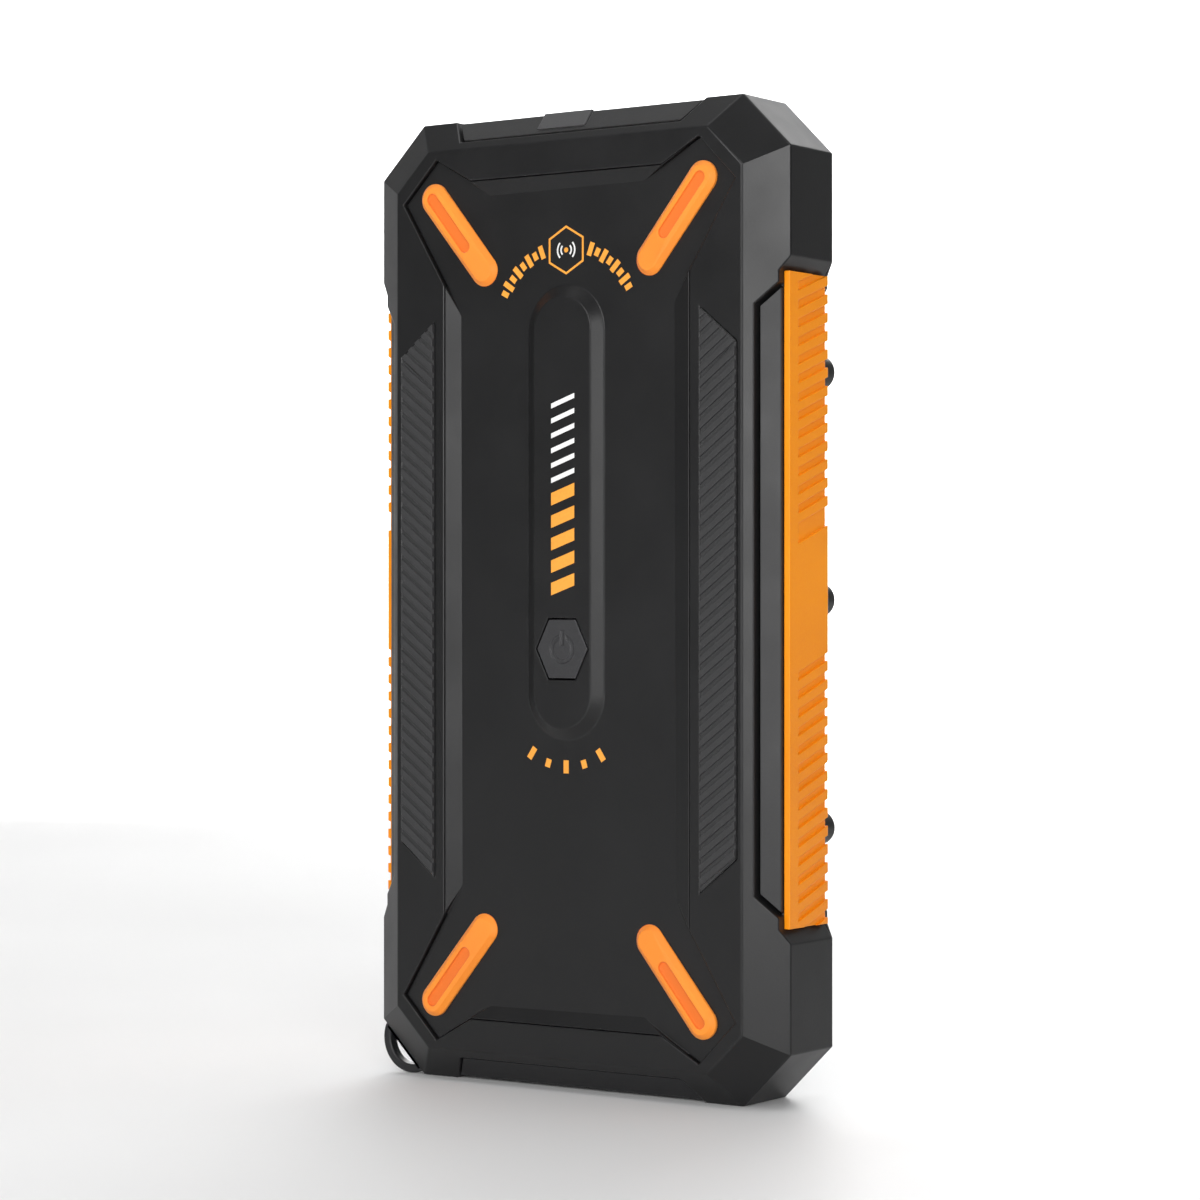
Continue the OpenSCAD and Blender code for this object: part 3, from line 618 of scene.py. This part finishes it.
def radial_mark(work, width, length, centre, radius, angle):
    """Block centred on a circle at an angle in degrees, its length along the circle's radius."""
    turn = math.radians(angle)
    out, side = (math.cos(turn), math.sin(turn)), (-math.sin(turn), math.cos(turn))
    corners = ((-width / 2, -length / 2), (width / 2, -length / 2),
               (width / 2, length / 2), (-width / 2, length / 2))
    plate(work, [tuple(centre[k] + (radius + v) * out[k] + u * side[k] for k in (0, 1))
                 for u, v in corners])


def arc_line(work, centre, radius, width, start, end):
    """Raised line along part of a circle, from one angle to another in degrees."""
    steps = 12
    turns = [math.radians(start + (end - start) * i / steps) for i in range(steps + 1)]
    points = [on_circle(centre, radius + width / 2, turn) for turn in turns]
    points += [on_circle(centre, radius - width / 2, turn) for turn in reversed(turns)]
    plate(work, points)


def finished_print(work, name, ink, slot):
    """Makes a printed mark from a bmesh that is drawn round the middle of the face."""
    bmesh.ops.recalc_face_normals(work, faces=work.faces)
    mesh = finished_mesh(work, name)
    mesh.transform(Matrix.Translation((0, 0, MIDDLE_Z)))
    piece(name, mesh, "housing", slot, material=ink)


def hexagon_points(centre, half_x, half_z):
    """Corners of a hexagon that stands on a point, from half its width and half its height."""
    turns = [math.radians(60 * i) for i in range(6)]
    return [(centre[0] + half_x * math.sin(turn) / math.sin(math.radians(60)),
             centre[1] + half_z * math.cos(turn)) for turn in turns]


def waves_badge():
    """Hexagon outline with a dot, and the radio waves on both sides of the dot."""
    centre = (0, 53.3 * MM)
    dot_radius, dot_points = 0.38 * MM, 24
    wave_width, wave_reach = 0.26 * MM, 44
    work = bmesh.new()
    outline_plate(work, hexagon_points(centre, 3.25 * MM, 3.75 * MM),
                  hexagon_points(centre, 2.93 * MM, 3.38 * MM))
    plate(work, [on_circle(centre, dot_radius, 2 * math.pi * i / dot_points) for i in range(dot_points)])
    finished_print(work, "charging_badge", ORANGE_INK, "pad")
    work = bmesh.new()
    for middle in (0, 180):
        for radius in (0.95 * MM, 1.6 * MM):
            arc_line(work, centre, radius, wave_width, middle - wave_reach, middle + wave_reach)
    finished_print(work, "charging_waves", WHITE_INK, "panel")


def scale_arcs():
    """Graduation marks in an arc under the badge and in an arc below the centre bar."""
    work = bmesh.new()
    upper_centre, upper_radius = (0, 41 * MM), 13 * MM
    for side in (-1, 1):
        for i in range(8):
            length = (1.3 if i % 2 else 2.1) * MM
            radial_mark(work, 0.85 * MM, length, upper_centre, upper_radius, 90 + side * (20.5 + 5.9 * i))
    lower_centre, lower_radius = (0, -14 * MM), 11.4 * MM
    for i in range(-2, 3):
        length = (1.3 if i % 2 else 2.0) * MM
        radial_mark(work, 0.95 * MM, length, lower_centre, lower_radius, 270 + 17 * i)
    finished_print(work, "graduation_marks", ORANGE_INK, "pad")


def bar_stripes():
    """Slanting stripes up the centre bar: bold ones, then thin ones."""
    left, right, rise = -2.0 * MM, 2.3 * MM, 1.5 * MM
    for name, ink, slot, start, pitch, width, count in (
            ("bold_stripes", ORANGE_INK, "pad", 0.7 * MM, 3.42 * MM, 1.9 * MM, 5),
            ("thin_stripes", WHITE_INK, "panel", 17.8 * MM, 2.27 * MM, 0.75 * MM, 6)):
        work = bmesh.new()
        for i in range(count):
            z = start + i * pitch
            corners = [(left, z), (right, z + rise), (right, z + rise + width), (left, z + width)]
            plate(work, corners, BAR_Y)
        finished_print(work, name, ink, slot)


waves_badge()
scale_arcs()
bar_stripes()


# ---------- Silver fingers on the solar cells ----------

def finger_grid():
    """Fingers in groups, one group on each cell of each column."""
    tree = Tree("finger_grid")
    size = tree.want("Finger Size", "Vector")
    per_cell = tree.want("Fingers", "Int")
    pitch = tree.want("Finger Step", "Vector")
    rows = tree.want("Rows", "Int")
    row_step = tree.want("Row Step", "Vector")
    column_step = tree.want("Column Step", "Vector")
    start = tree.want("Start", "Vector")
    finger = tree.add("GeometryNodeMeshCube", Size=size).outputs["Mesh"]
    cell = tree.row(per_cell, pitch, (0, 0, 0), finger)
    column = tree.row(rows, row_step, (0, 0, 0), cell)
    both = tree.row(2, column_step, start, column)
    tree.end(both, FINGER_SILVER)
    return tree


cells_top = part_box("solar_cells")[1].y
CELL_ROWS = 11
ROW_PITCH = 11.82 * MM
COLUMN_X = 15.5 * MM
FINGERS = 8
FINGER_PITCH = 1.28 * MM
FINGER_SIZE = (26.2 * MM, 0.04 * MM, 0.42 * MM)
first_finger = MIDDLE_Z - ROW_PITCH * (CELL_ROWS - 1) / 2 - FINGER_PITCH * (FINGERS - 1) / 2
fingers = finger_grid().make(**{
    "Finger Size": FINGER_SIZE, "Fingers": FINGERS, "Finger Step": (0, 0, FINGER_PITCH),
    "Rows": CELL_ROWS, "Row Step": (0, 0, ROW_PITCH), "Column Step": (2 * COLUMN_X, 0, 0),
    "Start": (-COLUMN_X, cells_top + FINGER_SIZE[1] / 2, first_finger)})
piece("silver_fingers", fingers, "housing", "ribbon", material=FINGER_SILVER)


# ---------- Screws ----------

HEAD_RADIUS = 1.95 * MM
HEAD_HEIGHT = 1.15 * MM


def screw_head_mesh():
    """Button head with a hexagon socket, its seat at the origin and its top towards +Y."""
    rim, flat_top = 0.25, 1.15 * MM
    socket, socket_depth, socket_chamfer = 0.85 * MM, 0.6 * MM, 0.08 * MM
    dome_steps, dome_end = 5, 67
    turns = [2 * math.pi * i / 36 for i in range(36)]

    def ring(radius, y):
        """A circle at height y."""
        return [Vector((radius * math.cos(turn), y, radius * math.sin(turn))) for turn in turns]

    def hexagon(corner, y):
        """A hexagon at height y, corner from its middle to a corner, with as many points as a ring."""
        reaches = [corner * math.cos(math.pi / 6) / math.cos(turn % (math.pi / 3) - math.pi / 6)
                   for turn in turns]
        return [Vector((reach * math.cos(turn), y, reach * math.sin(turn)))
                for reach, turn in zip(reaches, turns)]

    rings = [ring(HEAD_RADIUS, 0), ring(HEAD_RADIUS, rim * HEAD_HEIGHT)]
    for step in range(1, dome_steps + 1):
        turn = math.radians(12 + 11 * step)
        rise = math.sin(turn) / math.sin(math.radians(dome_end))
        rings.append(ring(HEAD_RADIUS * (1 - 0.5 * (1 - math.cos(turn))),
                          HEAD_HEIGHT * (rim + (1 - rim) * rise)))
    rings += [ring(flat_top, HEAD_HEIGHT), hexagon(socket * 1.08, HEAD_HEIGHT),
              hexagon(socket, HEAD_HEIGHT - socket_chamfer), hexagon(socket, HEAD_HEIGHT - socket_depth)]
    return weighted(loft(rings, "screw_head"))


def screw_grid():
    """Heads on a rectangle of two columns."""
    tree = Tree("screw_grid")
    head = tree.add("GeometryNodeObjectInfo", Object=tree.want("Head", "Object")).outputs["Geometry"]
    rows = tree.want("Rows", "Int")
    row_step = tree.want("Row Step", "Vector")
    column_step = tree.want("Column Step", "Vector")
    start = tree.want("Start", "Vector")
    column = tree.row(rows, row_step, (0, 0, 0), head)
    tree.end(tree.row(2, column_step, start, column), FINISHES["screw"])
    return tree


head_source = tool_object("head_source", screw_head_mesh())
screws = screw_grid()
for node, name, rows in (
        ("corner_screws", "corner_screw_heads", 2),
        ("side_screws", "side_screw_heads", 3)):
    low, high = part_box(node)
    span_x = high.x - low.x - 2 * HEAD_RADIUS
    span_z = high.z - low.z - 2 * HEAD_RADIUS
    mesh = screws.make(**{
        "Head": head_source, "Rows": rows, "Row Step": (0, 0, span_z / (rows - 1)),
        "Column Step": (span_x, 0, 0),
        "Start": (low.x + HEAD_RADIUS, high.y - HEAD_HEIGHT, low.z + HEAD_RADIUS)})
    piece(name, mesh, "housing", "screw", node)
bpy.data.objects.remove(head_source)


# ---------- The rest of the CAD nodes, in their finishes ----------

for node, thing in CAD_NODES.items():
    thing.data.materials.clear()
    thing.data.materials.append(FINISHES[SLOTS[node]])


# ---------- Stage ----------

MIDDLE = (0, 0, MIDDLE_Z)
# How far the floor's sweep is turned round to face the camera
FLOOR_TURN = math.radians(31.46)


def aimed(thing, place, aim):
    """Puts a lamp or camera at a place, looking at another."""
    thing.location = place
    thing.rotation_euler = (Vector(aim) - Vector(place)).to_track_quat("-Z", "Y").to_euler()


def area_light(name, place, aim, size, power):
    """White rectangular softbox of a size in metres and a power in watts."""
    lamp = bpy.data.lights.new(name, "AREA")
    lamp.shape = "RECTANGLE"
    lamp.size, lamp.size_y = size
    lamp.energy = power
    thing = bpy.data.objects.new(name, lamp)
    bpy.context.scene.collection.objects.link(thing)
    aimed(thing, place, aim)


def around(azimuth, elevation, distance):
    """Place round the object: azimuth in degrees from the charging face towards +X."""
    turn, rise = math.radians(azimuth), math.radians(elevation)
    return (distance * math.sin(turn) * math.cos(rise), -distance * math.cos(turn) * math.cos(rise),
            MIDDLE_Z + distance * math.sin(rise))


def floor_mesh():
    """Sheet that runs flat behind the object, then curves up in one sweep."""
    depth, reach, height, radius, steps = 1.2, 2.5, 2.0, 0.6, 12
    turns = [math.pi / 2 * i / steps for i in range(1, steps + 1)]
    outline = [(-reach, 0.0), (depth, 0.0)]
    outline += [(depth + radius * math.sin(turn), radius * (1 - math.cos(turn))) for turn in turns]
    outline.append((depth + radius, height))
    facing = Matrix.Rotation(FLOOR_TURN, 4, "Z")
    work = bmesh.new()
    left, right = ([work.verts.new(facing @ Vector((x, y, z))) for y, z in outline]
                   for x in (-reach, reach))
    for i in range(len(outline) - 1):
        work.faces.new((left[i], right[i], right[i + 1], left[i + 1]))
    mesh = finished_mesh(work, "floor")
    for face in mesh.polygons:
        face.use_smooth = True
    return mesh


def floor_paint():
    """Pale matt paint, hardly uneven."""
    f = Finish("floor_paint")
    tone = f.blend(f.spread(f.noise(0.3), 0, 1), (0.80, 0.80, 0.80, 1), (0.83, 0.83, 0.83, 1))
    f.feed(f.shader.inputs["Base Color"], tone)
    f.feed(f.shader.inputs["Roughness"], f.spread(f.noise(0.1), 0.55, 0.65))
    return f.material


floor = bpy.data.objects.new("floor", floor_mesh())
bpy.context.scene.collection.objects.link(floor)
floor.data.materials.append(floor_paint())

camera_data = bpy.data.cameras.new("camera")
camera_data.lens = 100
camera_data.sensor_width = 36
camera_data.clip_start = 0.01
camera_data.clip_end = 20
camera = bpy.data.objects.new("camera", camera_data)
bpy.context.scene.collection.objects.link(camera)
aimed(camera, (0.2927, -0.4237, MIDDLE_Z), MIDDLE)
bpy.context.scene.camera = camera

backdrop_place = around(211, 40, 1.0)
backdrop_aim = around(211, 8, 2.2)
area_light("camera_side", around(42, 5, 0.95), (0, 0, 0.08), (0.4, 0.8), 7)
area_light("front_strip", around(-6, 4, 1.0), MIDDLE, (0.22, 0.8), 4.5)
area_light("solar_side", around(200, 12, 1.0), MIDDLE, (0.5, 0.7), 4)
area_light("overhead", (0, 0, 1.1), (0, 0, 0), (1.0, 1.0), 5)
area_light("backdrop", backdrop_place, backdrop_aim, (1.2, 0.6), 34)
world = bpy.data.worlds.new("studio")
world.use_nodes = True
room = world.node_tree.nodes["Background"]
room.inputs["Color"].default_value = (1, 1, 1, 1)
room.inputs["Strength"].default_value = 0.24
bpy.context.scene.world = world
bpy.context.scene.view_settings.view_transform = "Standard"
